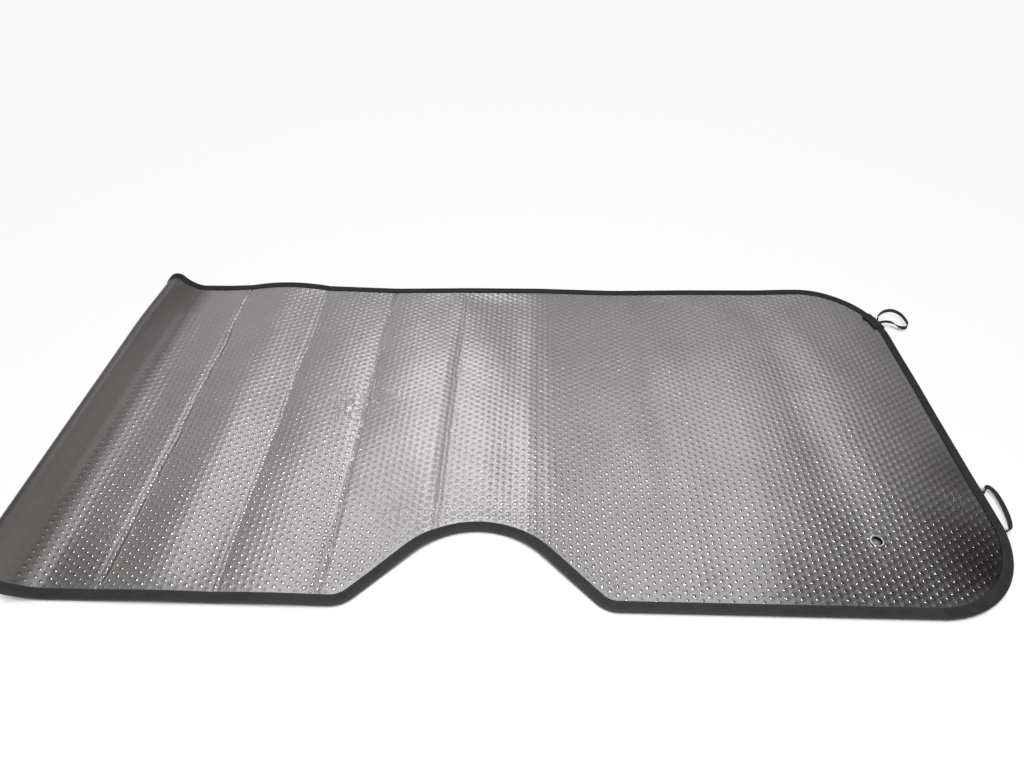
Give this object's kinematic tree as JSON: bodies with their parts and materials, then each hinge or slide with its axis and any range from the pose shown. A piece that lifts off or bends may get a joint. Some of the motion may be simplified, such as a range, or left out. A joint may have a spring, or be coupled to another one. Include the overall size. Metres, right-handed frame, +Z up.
{
  "type": "windshield sun shade",
  "caption": "Foil bubble-film windshield sun shade lying spread out, with a mirror notch, a black sewn edge binding, elastic loops and a metal eyelet; its left end is folded under.",
  "frame": {"origin": "bottom centre of the shade as it lies, on the floor", "axes": "+X along the shade, from the end that is folded under to the flat end; +Y across it, from the edge with the mirror notch to the far edge; +Z up"},
  "size_m": [1.2782, 0.5912, 0.0401],
  "materials": {
    "foil": "metallised bubble film, satin with sparkling bubbles",
    "binding_tape": "matt black woven tape",
    "elastic": "matt black woven elastic",
    "eyelet_metal": "bright nickel plating"
  },
  "bodies": {
    "root": {"foil_sheet": "foil", "edge_binding": "binding_tape", "loop_tab_rear": "binding_tape", "elastic_loop_rear": "elastic", "elastic_loop_front": "elastic", "eyelet": "eyelet_metal", "eyelet_washer": "eyelet_metal"}
  },
  "joints": []
}
